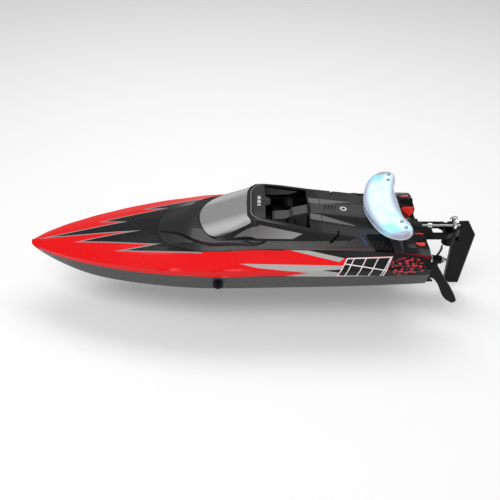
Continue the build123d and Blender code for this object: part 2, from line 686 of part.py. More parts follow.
BLADE_HALF = 2.2
LUG_LOW = (28.8, 33.6)
LUG_HIGH = (47.0, 50.4)
with BuildPart() as rudder_blade:
    with BuildSketch(Plane.XZ.offset(-BLADE_HALF)):
        with BuildLine():
            Polyline((199.2, 53.6), (208.4, 54.0), (217.5, 39.3), (217.3, 33.0), (215.2, -23.0),
                     (200.0, -22.6), (197.2, 26.0), (201.2, 30.0), (201.2, 49.0), close=True)
        make_face()
    extrude(amount=2 * BLADE_HALF)
    chamfer(rudder_blade.edges().filter_by_position(Axis.X, 207.0, 216.5).filter_by(
        lambda e: abs(e.length - 56.0) < 1.5), 1.2)
    for low, high in (LUG_LOW, LUG_HIGH):
        with BuildSketch(Plane.XY.offset(low)):
            with Locations((PIVOT_X, 0)):
                Circle(6.0)
            with Locations((PIVOT_X + 5, 0)):
                Rectangle(10, 6.4)
        extrude(amount=high - low)
    with BuildSketch(Plane.XY.offset(20)):
        with Locations((PIVOT_X, 0)):
            Circle(PIN_R + RUN)
    extrude(amount=40, mode=Mode.SUBTRACT)
rudder_blade.part.label = "rudder_blade"
export_step(rudder_blade.part, "parts/rudder_blade.step")

with BuildPart() as steering_arm:
    with BuildSketch(Plane.XY.offset(LUG_HIGH[1])):
        with Locations((PIVOT_X, 0)):
            Circle(3.8)
        with Locations((PIVOT_X, -ARM)):
            Circle(2.7)
        with Locations((PIVOT_X, -ARM / 2)):
            Rectangle(5.0, ARM)
        with Locations((PIVOT_X, 0)):
            Circle(PIN_R + RUN, mode=Mode.SUBTRACT)
        with Locations((PIVOT_X, -ARM)):
            Circle(1.1 + RUN, mode=Mode.SUBTRACT)
    extrude(amount=1.8)
steering_arm.part.label = "steering_arm"
export_step(steering_arm.part, "parts/steering_arm.step")

# ---------------------------------------------------------------------------
# Stern fittings and cooling water
# ---------------------------------------------------------------------------
FIN_Y = -50.0
with BuildPart() as turn_fin:
    with BuildSketch(Plane.XZ.offset(-FIN_Y - 1.0)):
        with BuildLine():
            Polyline((161.2, 44.0), (167.0, 45.2), (180.0, 24.6))
            Spline((180.0, 24.6), (189.0, 11.0), (194.3, 0.6))
            ThreePointArc((194.3, 0.6), (192.6, -2.6), (188.4, -1.6))
            Spline((188.4, -1.6), (179.4, 7.6), (172.4, 21.4), (166.0, 29.0))
            Polyline((166.0, 29.0), (161.2, 30.0), (161.2, 44.0))
        make_face()
    extrude(amount=2.0)
    add(block(TRANSOM_X, TRANSOM_X + 2.0, -53.0, -38.0, 28.5, 45.0))
    with BuildSketch(Plane.YZ.offset(TRANSOM_X)):
        with Locations((-43.5, 41.5), (-43.5, 32.5)):
            Circle(1.5)
    extrude(amount=2.0, mode=Mode.SUBTRACT)
turn_fin.part.label = "turn_fin"
export_step(turn_fin.part, "parts/turn_fin.step")

with BuildPart() as fin_screws:
    with BuildSketch(Plane.YZ.offset(TRANSOM_X + 2.0)):
        with Locations((-43.5, 41.5), (-43.5, 32.5)):
            Circle(2.2)
            RegularPolygon(1.1, 6, mode=Mode.SUBTRACT)
    extrude(amount=1.8)
fin_screws.part.label = "fin_screws"
export_step(fin_screws.part, "parts/fin_screws.step")

with BuildPart() as trim_tabs:
    for side in (-1, 1):
        inner, outer = side * 24.0, side * 46.0
        with BuildSketch(Plane.YZ.offset(TRANSOM_X)):
            with BuildLine():
                Polyline((inner, bottom_z(161, 24)), (outer, bottom_z(161, 46)),
                         (outer, bottom_z(161, 46) + 2.0), (inner, bottom_z(161, 24) + 2.0), close=True)
            make_face()
        extrude(amount=8.0)
        with BuildSketch(Plane.YZ.offset(TRANSOM_X)):
            with BuildLine():
                Polyline((inner, bottom_z(161, 24) + 1), (outer, bottom_z(161, 46) + 1),
                         (outer, bottom_z(161, 46) + 8.0), (inner, bottom_z(161, 24) + 8.0), close=True)
            make_face()
        extrude(amount=1.6)
trim_tabs.part.label = "trim_tabs"
export_step(trim_tabs.part, "parts/trim_tabs.step")

OUTLET_X = -29.0
OUTLET_Z = 27.5
with BuildPart() as water_outlet:
    with BuildSketch(Plane.XZ.offset(50.5)):
        with Locations((OUTLET_X, OUTLET_Z)):
            Circle(2.5 - 0.02)
    extrude(amount=10.0)
    with BuildSketch(Plane.XZ.offset(57.4)):
        with Locations((OUTLET_X, OUTLET_Z)):
            Circle(4.8)
    extrude(amount=1.6)
    with BuildSketch(Plane.XZ.offset(50.5)):
        with Locations((OUTLET_X, OUTLET_Z)):
            Circle(1.3)
    extrude(amount=10.0, mode=Mode.SUBTRACT)
water_outlet.part.label = "water_outlet"
export_step(water_outlet.part, "parts/water_outlet.step")

# ---------------------------------------------------------------------------
# Hatch cover and cabin. Half-sections, x: lower side, upper side, roof edge, centreline z
# ---------------------------------------------------------------------------
PEAK_X = 5.0             # the roof's front edge, where the windscreen ends
CABIN = {
    -49.0: ((8.5, 59.0), (6.0, 60.3), (3.0, 60.9), 61.0),
    -44.0: ((21.0, 58.5), (16.0, 61.1), (8.0, 62.3), 62.7),
    -36.0: ((32.0, 57.6), (26.2, 61.4), (14.0, 64.4), 65.2),
    -15.0: ((34.5, 60.0), (28.6, 69.2), (16.2, 71.6), 72.2),
    PEAK_X: ((35.3, 60.5), (28.8, 77.8), (17.0, 79.0), 79.3),
    14.0: ((35.6, 60.5), (29.2, 78.0), (17.0, 79.1), 79.4),
    30.0: ((36.0, 60.5), (30.6, 75.3), (17.6, 76.2), 76.5),
    57.0: ((36.8, 60.0), (33.0, 69.4), (18.0, 69.0), 69.2),
    97.0: ((37.4, 59.6), (34.4, 63.5), (18.0, 62.4), 62.2),
    103.0: ((35.0, 57.0), (30.0, 58.2), (16.0, 57.6), 57.3),
}
CABIN_SKIN = 1.6
CABIN_FOOT = 54.0
CABIN_FRONT = tuple(x for x in CABIN if x <= PEAK_X)
CABIN_REAR = tuple(x for x in CABIN if x >= PEAK_X)


def cabin_ring(x, skin):
    lower, upper, roof, centre = CABIN[x]
    return mirrored([
        (lower[0] + 1.0 - skin, CABIN_FOOT - (2.0 if skin > 0 else 0.0)),
        (lower[0] - skin, lower[1] - 0.3 * skin),
        (upper[0] - skin, upper[1] - 0.8 * skin),
        (roof[0] - 0.3 * skin, roof[1] - skin),
        (0.0, centre - skin),
    ])


cabin_front = ring_loft(CABIN_FRONT, cabin_ring, 0.0)
cabin_rear = ring_loft(CABIN_REAR, cabin_ring, 0.0, ruled=True)
cabin_solid = cabin_front + cabin_rear
cabin_hollow = (ring_loft(CABIN_FRONT[1:], cabin_ring, CABIN_SKIN)
                + ring_loft(CABIN_REAR, cabin_ring, CABIN_SKIN, ruled=True)) & block(-42, 98, -60, 60, 40, 90)
cabin_shell = cabin_solid - cabin_hollow

# Hood that rises from the hatch's nose to the cabin. x: (ridge y, z), centreline z
HOOD = {
    -86.0: ((8.0, 50.9), 51.3),
    -75.0: ((13.5, 53.5), 54.8),
    -63.0: ((20.0, 56.2), 58.2),
    -52.0: ((28.5, 57.6), 60.6),
    -42.0: ((34.0, 58.0), 61.8),
    -30.0: ((36.6, 58.8), 62.5),
    -12.0: ((37.6, 59.6), 62.5),
    12.0: ((37.2, 59.5), 61.5),
    36.0: ((36.6, 59.0), 61.0),
}


HOOD_SKIN = 1.8
HOOD_FOOT = 46.0
HOOD_OPEN = -10.0        # the hood is hollow as far aft as this


def hood_ring(x, skin):
    (y, z), centre = HOOD[x]
    return mirrored([
        (y + 1.2 - skin, HOOD_FOOT - (2.0 if skin > 0 else 0.0)),
        (y - skin, z - 0.8 * skin),
        (0.55 * y - 0.3 * skin, z + 0.62 * (centre - z) - skin),
        (0.0, centre - skin),
    ])


hood_solid = ring_loft(tuple(HOOD), hood_ring, 0.0)
hood_hollow = ring_loft(tuple(HOOD)[1:], hood_ring, HOOD_SKIN) & block(-80, HOOD_OPEN, -60, 60, 40, 70)

WINDSCREEN = (
    (0.8, 27.2), (-15.6, 30.2), (-29.0, 31.0), (-36.5, 27.5), (-43.5, 17.0), (-46.6, 7.0), (-47.2, 0.0),
)
WINDSCREEN_TOP = ((0.8, 27.2), (-2.6, 19.0), (-3.2, 0.0))
SIDE_GLASS = ((-15.0, 62.2), (9.0, 74.2), (47.0, 66.9), (38.0, 62.2))
ROOF_PANEL = ((2.8, 16.0), (5.6, 23.6), (13.0, 26.4), (14.0, 7.0), (18.5, 4.5), (19.0, 0.0))
COCKPIT_END_X = 54.0
COCKPIT = ((14.0, 26.4), (COCKPIT_END_X, 29.8))


with BuildPart(mode=Mode.PRIVATE) as glass_prism:
    with BuildSketch(Plane.XY.offset(50)):
        with BuildLine():
            Spline(*WINDSCREEN, *[(x, -y) for x, y in reversed(WINDSCREEN[:-1])])
            Polyline(*WINDSCREEN_TOP, *[(x, -y) for x, y in reversed(WINDSCREEN_TOP[:-1])])
        make_face()
    extrude(amount=40)
glass_cut = glass_prism.part
side_cut = side_prism(SIDE_GLASS, 24, 44) + side_prism(SIDE_GLASS, -44, -24)
roof_cut = plan_prism(both_sides(ROOF_PANEL), 66, 90)
cockpit_cut = plan_prism(both_sides(COCKPIT), 56, 90)

FLANK_SLOT = ((70.6, 59.4), (73.8, 59.4), (84.8, 69.0), (81.6, 69.0))
VENT = ((102.0, 66.0), (122.6, 66.0), (129.5, 54.5), (113.0, 54.5))
VENT_SECTIONS = tuple(DECK_SECTIONS)[1:]
vent_cut = side_prism(VENT, 30, 60) + side_prism(VENT, -60, -30)
with BuildPart() as hatch_cover:
    add((deck_solid - deck_hollow) & hatch_prism(GAP))
    add(cabin_solid)
    add((hood_solid - deck_hollow) & hatch_prism(GAP))
    add((deck_solid & hatch_prism(GAP, SHELF_Z + SHELF_T + SEAL_T)) - hatch_prism(GAP + 1.8))
    add(hood_hollow, mode=Mode.SUBTRACT)
    add(cabin_hollow, mode=Mode.SUBTRACT)
    for cut in (glass_cut, side_cut, roof_cut, cockpit_cut, vent_cut):
        add(cut, mode=Mode.SUBTRACT)
    # notch in the rear skirt, open at the bottom, for the steering rod
    add(block(HATCH_REAR_X - 6, HATCH_REAR_X + 2, -ARM - 3.2, -ARM + 3.6, 40, ROD_Z + 1.9),
        mode=Mode.SUBTRACT)
    # slanted slot in each flank
    for side in (-1, 1):
        add(side_prism(FLANK_SLOT, *sorted((side * 28.0, side * 60.0))), mode=Mode.SUBTRACT)
hatch_cover.part.label = "hatch_cover"
export_step(hatch_cover.part, "parts/hatch_cover.step")

with BuildPart() as windscreen:
    add(cabin_shell & glass_cut)
windscreen.part.label = "windscreen"
export_step(windscreen.part, "parts/windscreen.step")

with BuildPart() as side_windows:
    add(cabin_shell & side_cut)
side_windows.part.label = "side_windows"
export_step(side_windows.part, "parts/side_windows.step")

with BuildPart() as roof_panel:
    add(cabin_shell & roof_cut)
roof_panel.part.label = "roof_panel"
export_step(roof_panel.part, "parts/roof_panel.step")

with BuildPart() as side_vents:
    face = ring_loft(VENT_SECTIONS, deck_ring, 0.8) - ring_loft(VENT_SECTIONS, deck_ring, 2.4)
    add(face & vent_cut & hatch_prism(GAP + 2.0))
side_vents.part.label = "side_vents"
export_step(side_vents.part, "parts/side_vents.step")

TUB_FLOOR = 49.5
TUB_FLANGE = ((-38.0, 14.0), (-34.0, 24.5), (-15.0, 30.5), (5.0, 31.8), (58.0, 32.0))
with BuildPart() as cockpit_tub:
    add(plan_prism(both_sides(TUB_FLANGE), 59.6, 61.0) & cabin_hollow)
    add(block(9, 57.4, -28.4, 28.4, TUB_FLOOR - 1.4, 60.0))
    add(block(10.4, 56, -27, 27, TUB_FLOOR, 70), mode=Mode.SUBTRACT)
cockpit_tub.part.label = "cockpit_tub"
export_step(cockpit_tub.part, "parts/cockpit_tub.step")

with BuildPart() as dashboard:
    with BuildSketch(Plane.XZ.offset(-26)):
        with BuildLine():
            Polyline((-8, 61.0), (14, 61.0), (14, 65.0), (9, 69.5), (2, 70.5), (-8, 67.0), close=True)
        make_face()
    extrude(amount=52)
    for y in (-14, 14):
        with BuildSketch(Plane.XY.offset(72)):
            with Locations((11, y)):
                Rectangle(5, 16)
        extrude(amount=-4.6, mode=Mode.SUBTRACT)
dashboard.part.label = "dashboard"
export_step(dashboard.part, "parts/dashboard.step")

WHEEL = Plane(origin=(19.5, -14.0, 64.5), x_dir=(0, 1, 0), z_dir=(0.9, 0, 0.44))
with BuildPart() as steering_wheel:
    with BuildSketch(Plane(origin=WHEEL.origin, x_dir=WHEEL.x_dir, z_dir=WHEEL.y_dir)):
        with Locations((5.4, 0)):
            Circle(0.9)
    revolve(axis=Axis(WHEEL.origin, WHEEL.z_dir))
    with BuildSketch(WHEEL.offset(-0.5)):
        Circle(1.6)
        for turn in (0, 120, 240):
            with Locations(Rot(0, 0, turn + 90)):
                with Locations((2.7, 0)):
                    Rectangle(5.4, 1.3)
    extrude(amount=1.0)
    with BuildSketch(WHEEL.offset(-6.4)):
        Circle(0.9)
    extrude(amount=6.4)
    add(dashboard.part, mode=Mode.SUBTRACT)
steering_wheel.part.label = "steering_wheel"
export_step(steering_wheel.part, "parts/steering_wheel.step")

SEAT_Y = 15.5
SEAT_WIDTH = 15.0
with BuildPart() as seats:
    for y in (-SEAT_Y, SEAT_Y):
        with BuildSketch(Plane.XZ.offset(-y - SEAT_WIDTH / 2)):
            with BuildLine():
                Polyline((20, TUB_FLOOR), (20, 55.0), (22, 56.5), (31.5, 55.5), (33.0, 65.0),
                         (35.5, 67.6), (40.5, 67.0), (42.5, 63.0), (41.5, TUB_FLOOR), close=True)
            make_face()
        extrude(amount=SEAT_WIDTH)
    backrests = [e for e in seats.edges().filter_by(Axis.Y, reverse=True) if e.center().Z > 57.0]
    fillet(backrests, 2.4)
seats.part.label = "seats"
export_step(seats.part, "parts/seats.step")

CONSOLE_END_X = COCKPIT_END_X - 0.8
with BuildPart() as centre_console:
    with BuildSketch(Plane.XZ.offset(-6.4)):
        with BuildLine():
            Polyline((21, TUB_FLOOR), (21, 61.5), (23, 62.5), (37, 63.5), (40, 67.5), (CONSOLE_END_X, 70.6),
                     (CONSOLE_END_X, TUB_FLOOR), close=True)
        make_face()
    extrude(amount=12.8)
    fillet(centre_console.edges().filter_by(Axis.X, tolerance=30).group_by(Axis.Z)[-1], 1.4)
centre_console.part.label = "centre_console"
export_step(centre_console.part, "parts/centre_console.step")

# raised pads on the rear cover, each side of the spine, in two lengths
PADS = (
    ((55.2, 8.4), (55.2, 16.4), (65.4, 17.0), (65.4, 8.4)),
    ((66.0, 8.6), (66.0, 17.0), (96.0, 18.6), (96.0, 17.6)),
)
PAD_RISE = 1.2
with BuildPart() as rear_pads:
    raised = ring_loft(CABIN_REAR, cabin_ring, -PAD_RISE, ruled=True) - cabin_solid - deck_solid
    for side in (-1, 1):
        for outline in PADS:
            add(raised & plan_prism([(x, side * y) for x, y in outline], 58, 80))
rear_pads.part.label = "rear_pads"
export_step(rear_pads.part, "parts/rear_pads.step")

# spine: half-width and top height at each station
SPINE = ((56.0, 6.8, 71.4), (66.0, 7.3, 71.4), (90.0, 8.8, 69.4), (106.0, 9.6, 68.2), (121.0, 9.6, 67.6))
with BuildPart() as spine_cover:
    for x, half, top in SPINE:
        with BuildSketch(Plane.YZ.offset(x)):
            with BuildLine():
                Polyline(*mirrored([(half + 1.0, 57.0), (half, top - 1.6), (half - 1.6, top)]), close=True)
            make_face()
    loft(ruled=True)
    for x in (68.5, 71.5, 74.5, 77.5):
        with BuildSketch(Plane.XY.offset(74)):
            with BuildLine():
                Polyline((x, -3.5), (x + 1.3, -3.5), (x + 3.3, 4.0), (x + 2.0, 4.0), close=True)
            make_face()
        extrude(amount=-5.0, mode=Mode.SUBTRACT)
    for solid in (cabin_solid, deck_solid):
        add(solid, mode=Mode.SUBTRACT)
spine_cover.part.label = "spine_cover"
export_step(spine_cover.part, "parts/spine_cover.step")

# ---------------------------------------------------------------------------
# Tail lights, on the deck's two quarters
# ---------------------------------------------------------------------------
with BuildPart() as tail_pods:
    for side in (-1, 1):
        for x, scale, lift in ((139.5, 0.5, 0.0), (147.0, 1.0, 0.0), (159.5, 0.9, -0.6)):
            half = [(22.5, 50.0), (22.5, 56.5 + lift), (27.5, 60.4 + lift), (31.0, 60.4 + lift),
                    (41.5, 55.8 + lift), (41.5, 50.0)]
            with BuildSketch(Plane.YZ.offset(x)):
                with BuildLine():
                    Polyline(*[(side * (32 + (y - 32) * scale), z) for y, z in half], close=True)
                make_face()
        loft(ruled=True)
    add(deck_solid, mode=Mode.SUBTRACT)
    add(block(120, 170, -WELL_HALF, WELL_HALF, 40, 70), mode=Mode.SUBTRACT)
tail_pods.part.label = "tail_pods"
export_step(tail_pods.part, "parts/tail_pods.step")

OUTER_LENS = ((35.6, 57.2), (38.4, 56.0), (39.0, 57.4), (36.3, 58.6))
with BuildPart() as tail_lenses:
    for side in (-1, 1):
        wedge = [(16.5, 47.6), (20.95, 47.6), (20.95, 56.5), (20.0, 56.5)]
        with BuildSketch(Plane.YZ.offset(148.0)):
            with BuildLine():
                Polyline(*[(side * y, z) for y, z in wedge], close=True)
            make_face()
        extrude(amount=11.5)
    add(side_prism(((135, 60), (160.5, 60), (159.0, 51.0), (154.5, 47.0), (149.0, 54.0)), -30, 30),
        mode=Mode.INTERSECT)
    # outer strips, on the pods' outboard slopes
    for side in (-1, 1):
        with BuildSketch(Plane.YZ.offset(148.0)):
            with BuildLine():
                Polyline(*[(side * y, z) for y, z in OUTER_LENS], close=True)
            make_face()
        extrude(amount=9.0)
    add(tail_pods.part, mode=Mode.SUBTRACT)
    add(deck_upper.part, mode=Mode.SUBTRACT)
tail_lenses.part.label = "tail_lenses"
export_step(tail_lenses.part, "parts/tail_lenses.step")

# ---------------------------------------------------------------------------
# Wing: a clear cover over a lit board, on a base plate that sits on the spine.
# It is pitched, leading edge down; its plan is in its own plane, from its pitch axis
# ---------------------------------------------------------------------------
WING_X = 122.0
WING_TOP = 77.6          # top surface, over the pitch axis
WING_PITCH = 8.5
WING_DEPTH = 6.4
SHEET = 1.4
WING_EDGE = ((-16.8, 0.0), (-15.2, 13.0), (-10.8, 29.5), (-2.8, 43.3), (5.0, 48.8))
WING_TIP = ((5.0, 48.8), (14.6, 48.4), (19.4, 42.6))
WING_TAIL = ((19.4, 42.6), (18.4, 34.5), (15.4, 26.5), (14.2, 13.0), (14.2, 0.0))
WING_PLANE = Plane(origin=(WING_X, 0, WING_TOP),
                   x_dir=(math.cos(math.radians(WING_PITCH)), 0, math.sin(math.radians(WING_PITCH))),
                   z_dir=(-math.sin(math.radians(WING_PITCH)), 0, math.cos(math.radians(WING_PITCH))))


def wing_slab(inset, low, high):
    """Private slab with the wing's plan, shrunk by about inset, between two depths below its top."""
    def shrunk(points):
        return [(x * (1 - inset / 15.5), y * (1 - inset / 49.0)) for x, y in points]

    with BuildPart(mode=Mode.PRIVATE) as body:
        with BuildSketch(WING_PLANE.offset(-low)):
            with BuildLine():
                Spline(*shrunk(WING_EDGE), tangents=((0, 1), (1, 0.45)))
                ThreePointArc(*shrunk(WING_TIP))
                Spline(*shrunk(WING_TAIL), tangents=((-0.2, -1), (0, -1)))
                mirror(about=Plane.XZ)
            make_face()
        extrude(amount=low - high)
    return body.part


WING_SCREWS = ((11.5, 33.0), (13.6, 41.6), (11.5, -33.0), (13.6, -41.6))
with BuildPart() as wing_cover:
    add(wing_slab(0.0, WING_DEPTH - SHEET, 0.0))
    fillet(wing_cover.faces().sort_by(Axis.Z)[-1].edges(), 1.6)
    add(wing_slab(SHEET, WING_DEPTH, SHEET), mode=Mode.SUBTRACT)
wing_cover.part.label = "wing_cover"
export_step(wing_cover.part, "parts/wing_cover.step")

with BuildPart() as wing_base:
    add(wing_slab(0.0, WING_DEPTH, WING_DEPTH - SHEET))
    with BuildSketch(WING_PLANE.offset(-WING_DEPTH + 0.7)):
        with Locations((-8.5, 0)):
            RectangleRounded(13, 14, 2)
    extrude(amount=-6.0)
    add(spine_cover.part, mode=Mode.SUBTRACT)
    with BuildSketch(WING_PLANE.offset(-WING_DEPTH + 0.7)):
        with Locations(*WING_SCREWS):
            Circle(2.4)
    extrude(amount=WING_DEPTH - SHEET - 0.75)
wing_base.part.label = "wing_base"
export_step(wing_base.part, "parts/wing_base.step")

BOARD_DEPTH = WING_DEPTH - SHEET - 0.05
with BuildPart() as light_board:
    add(wing_slab(5.0, BOARD_DEPTH, BOARD_DEPTH - 1.1))
    with BuildSketch(WING_PLANE):
        with Locations(*WING_SCREWS):
            Circle(3.2)
    extrude(amount=-10.0, mode=Mode.SUBTRACT)
light_board.part.label = "light_board"
export_step(light_board.part, "parts/light_board.step")

LAMP_PITCH = 9.0
LAMP_ROWS = ((-9.0, 4), (1.5, 2))   # row position at the centreline, lamps each side of it
with BuildPart() as lamps:
    with BuildSketch(WING_PLANE.offset(-BOARD_DEPTH + 1.1)):
        for start, reach in LAMP_ROWS:
            for step in range(-reach, reach + 1):
                with Locations((start + 4.5 + 0.0045 * (step * LAMP_PITCH) ** 2, step * LAMP_PITCH)):
                    Rectangle(3.0, 3.0)
    extrude(amount=1.2)
lamps.part.label = "lamps"
export_step(lamps.part, "parts/lamps.step")

with BuildPart() as wing_screws:
    with BuildSketch(WING_PLANE.offset(0.05)):
        with Locations(*WING_SCREWS):
            Circle(1.7)
            RegularPolygon(0.8, 6, mode=Mode.SUBTRACT)
    extrude(amount=0.8)
wing_screws.part.label = "wing_screws"
export_step(wing_screws.part, "parts/wing_screws.step")
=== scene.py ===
"""Looks of the remote-control speedboat: materials, painted flashes, light and camera."""

import json
import math
from functools import reduce

import bmesh
import bpy
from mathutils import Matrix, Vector


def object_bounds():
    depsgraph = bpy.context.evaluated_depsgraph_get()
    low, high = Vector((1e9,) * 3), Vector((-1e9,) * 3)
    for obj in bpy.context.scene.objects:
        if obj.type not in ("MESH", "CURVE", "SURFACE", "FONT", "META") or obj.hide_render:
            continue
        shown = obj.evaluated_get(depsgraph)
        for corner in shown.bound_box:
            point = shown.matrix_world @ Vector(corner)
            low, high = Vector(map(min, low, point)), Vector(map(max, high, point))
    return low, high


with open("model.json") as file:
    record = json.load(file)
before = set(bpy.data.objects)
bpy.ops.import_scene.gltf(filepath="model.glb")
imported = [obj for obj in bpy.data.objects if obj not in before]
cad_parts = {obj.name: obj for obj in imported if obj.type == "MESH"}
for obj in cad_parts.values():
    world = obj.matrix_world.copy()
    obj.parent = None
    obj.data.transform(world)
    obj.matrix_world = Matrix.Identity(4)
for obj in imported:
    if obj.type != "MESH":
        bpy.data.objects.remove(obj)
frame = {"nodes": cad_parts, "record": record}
cad_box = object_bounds()
nodes = frame["nodes"]

MM = 1000.0                        # millimetres in a metre
PAINT_BLUR = 0.12                  # mm over which a painted edge fades
CAMERA_TILT = math.radians(40.5)   # how far the camera looks down
CAMERA_DISTANCE = 0.574            # from the target, in metres
CAMERA_TARGET = (0.0, 0.0, 0.019)
CAMERA_LENS = 41.76
CAMERA_SENSOR = 36.0
FLOOR_HALF_SIZE = 6.0
FLOOR_SQUARES = 40
FLOOR_GAP = 0.012                  # below the lowest point of the boat
FLOOR_GLOW = 0.16
WORLD_LIGHT = 0.34                 # what the world sheds on the boat
WORLD_BACKDROP = 0.6               # what the camera sees of it on top of that


# ---------------------------------------------------------------- shader arithmetic
class Wire:
    """A shader value. Arithmetic on it adds Math nodes to its tree."""

    def __init__(self, tree, socket):
        self.tree = tree
        self.socket = socket

    def math(self, operation, *others):
        node = self.tree.nodes.new("ShaderNodeMath")
        node.operation = operation
        for slot, value in zip(node.inputs, (self, *others)):
            if isinstance(value, Wire):
                self.tree.links.new(value.socket, slot)
            else:
                slot.default_value = value
        return Wire(self.tree, node.outputs[0])

    def __add__(self, other):
        return self.math("ADD", other)

    def __sub__(self, other):
        return self.math("SUBTRACT", other)

    def __mul__(self, other):
        return self.math("MULTIPLY", other)

    def __neg__(self):
        return self.math("MULTIPLY", -1.0)

    def least(self, other):
        return self.math("MINIMUM", other)

    def most(self, other):
        return self.math("MAXIMUM", other)

    def size(self):
        return self.math("ABSOLUTE")

    def root(self):
        return self.math("SQRT")

    def zigzag(self, height):
        return self.math("PINGPONG", height)

    def above(self, level=0.0, blur=PAINT_BLUR):
        """1 above the level, 0 below it, with a short ramp between."""
        ramp = (self - level) * (1 / blur) + 0.5
        return ramp.most(0.0).least(1.0)

    def below(self, level, blur=PAINT_BLUR):
        return (-self).above(-level, blur)

    def between(self, low, high, blur=PAINT_BLUR):
        return self.above(low, blur) * self.below(high, blur)


def inside(u, v, corners):
    """How far (u, v) lies inside a convex outline; negative outside it."""
    pairs = list(zip(corners, corners[1:] + corners[:1]))
    area = sum(x0 * y1 - x1 * y0 for (x0, y0), (x1, y1) in pairs)
    turn = 1.0 if area > 0 else -1.0
    sides = []
    for (x0, y0), (x1, y1) in pairs:
        length = math.hypot(x1 - x0, y1 - y0) * turn
        nx, ny = (y0 - y1) / length, (x1 - x0) / length
        sides.append(u * nx + (v * ny - (x0 * nx + y0 * ny)))
    return reduce(Wire.least, sides)


def union(u, v, *outlines):
    return reduce(Wire.most, [inside(u, v, corners) for corners in outlines])


class Finish:
    """A procedural material: colour layers, mottling, roughness spread and grain."""

    COAT_ROUGHNESS = 0.06
    MOTTLE_SCALE = 28.0
    SMUDGE_SCALE = 350.0
    SMUDGE_SPREAD = 0.3            # share of the roughness that the smudges add
    SMUDGE_BASE = 0.85             # share that is always there
    SMOOTHEST = 0.02

    def __init__(self, name, colour, roughness=0.4, metallic=0.0, coat=0.0, mottle=0.12,
                 specular=0.35):
        self.material = bpy.data.materials.new(name)
        self.material.use_nodes = True
        self.tree = self.material.node_tree
        self.shader = self.tree.nodes["Principled BSDF"]
        self.set("Metallic", metallic)
        self.set("Specular IOR Level", specular)
        self.set("Coat Weight", coat)
        self.set("Coat Roughness", self.COAT_ROUGHNESS)
        self.place = self.add("ShaderNodeTexCoord").outputs["Object"]
        self.heights = None
        dark = [channel * (1 - mottle) for channel in colour]
        light = [min(1, channel * (1 + mottle)) for channel in colour]
        self.colour = self.mix(self.noise(self.MOTTLE_SCALE, detail=4.0), dark, light)
        smudges = self.noise(self.SMUDGE_SCALE, detail=2.0)
        self.roughness = smudges * (self.SMUDGE_SPREAD * roughness) + self.SMUDGE_BASE * roughness

    def add(self, kind, **values):
        node = self.tree.nodes.new(kind)
        for key, value in values.items():
            setattr(node, key, value)
        return node

    def link(self, value, socket):
        if isinstance(value, Wire):
            value = value.socket
        self.tree.links.new(value, socket)

    def set(self, name, value):
        """Sets or links one input of the surface shader."""
        if isinstance(value, (int, float, tuple)):
            self.shader.inputs[name].default_value = value
        else:
            self.link(value, self.shader.inputs[name])

    def glow(self, colour, strength):
        self.set("Emission Color", colour)
        self.set("Emission Strength", strength)

    def axes(self):
        """Object coordinates in millimetres: x, y, z."""
        split = self.add("ShaderNodeSeparateXYZ")
        self.link(self.place, split.inputs[0])
        return [Wire(self.tree, split.outputs[i]) * MM for i in range(3)]

    def stretched(self, scale):
        mapping = self.add("ShaderNodeMapping")
        self.link(self.place, mapping.inputs["Vector"])
        mapping.inputs["Scale"].default_value = scale
        return mapping.outputs["Vector"]

    def noise(self, scale, detail=3.0, where=None):
        node = self.add("ShaderNodeTexNoise")
        self.link(where or self.place, node.inputs["Vector"])
        node.inputs["Scale"].default_value = scale
        node.inputs["Detail"].default_value = detail
        return Wire(self.tree, node.outputs["Fac"])

    def cells(self, scale, where=None, feature="F1"):
        node = self.add("ShaderNodeTexVoronoi", feature=feature)
        self.link(where or self.place, node.inputs["Vector"])
        node.inputs["Scale"].default_value = scale
        return Wire(self.tree, node.outputs["Distance"])

    def mix(self, factor, low, high):
        node = self.add("ShaderNodeMix", data_type="RGBA")
        self.link(factor, node.inputs[0])
        for slot, value in ((node.inputs[6], low), (node.inputs[7], high)):
            if isinstance(value, (list, tuple)):
                slot.default_value = (*value, 1.0)
            else:
                self.link(value, slot)
        return node.outputs[2]

    def paint(self, mask, colour):
        self.colour = self.mix(mask, self.colour, colour)

    def raise_by(self, height):
        """Adds a height in millimetres to the surface relief."""
        self.heights = height if self.heights is None else self.heights + height

    def grain(self, scale, height, where=None):
        self.raise_by(self.noise(scale, where=where) * height)

    def done(self):
        self.set("Base Color", self.colour)
        self.set("Roughness", self.roughness.most(self.SMOOTHEST).least(1.0))
        if self.heights is not None:
            bump = self.add("ShaderNodeBump")
            bump.inputs["Distance"].default_value = 1 / MM
            bump.inputs["Strength"].default_value = 1.0
            self.link(self.heights, bump.inputs["Height"])
            self.set("Normal", bump.outputs["Normal"])
        return self.material


# ---------------------------------------------------------------- painted flashes
RED = (0.90, 0.003, 0.006)
DARK_RED = (0.16, 0.004, 0.012)
CORAL = (0.62, 0.05, 0.07)
PALE_PINK = (0.95, 0.84, 0.87)
LIGHT_GREY = (0.46, 0.46, 0.45)
LINE_GREY = (0.30, 0.30, 0.30)
# painted highlight: the paler line along the knuckle edge, on the dark aft field
KNUCKLE_HIGHLIGHT_GREY = (0.06, 0.06, 0.06)
DARK = (0.010, 0.010, 0.011)
BAR_BLACK = (0.010, 0.011, 0.011)

# plan outlines, x aft and y to starboard
SPIKES = [
    [(-193, 0), (-103, -5), (-119, 11)],
    [(-159, -12), (-103, -5), (-82, -26)],
    [(-115, -29.5), (-82, -26), (-45, -40)],
    [(-143, 16), (-119, 11), (-81, 30.5)],
    [(-101, 34), (-81, 30.5), (-39, 46)],
]
FORE_FIELD = [
    (-119, 11), (-82, -26), (-45, -40), (30, -43), (30, 50), (-39, 46), (-81, 30.5),
]
FORE_OUTLINE = 1.3                 # width of the grey line round the fore field
FORE_OUTLINE_END = -44.0           # the line stops here, going aft

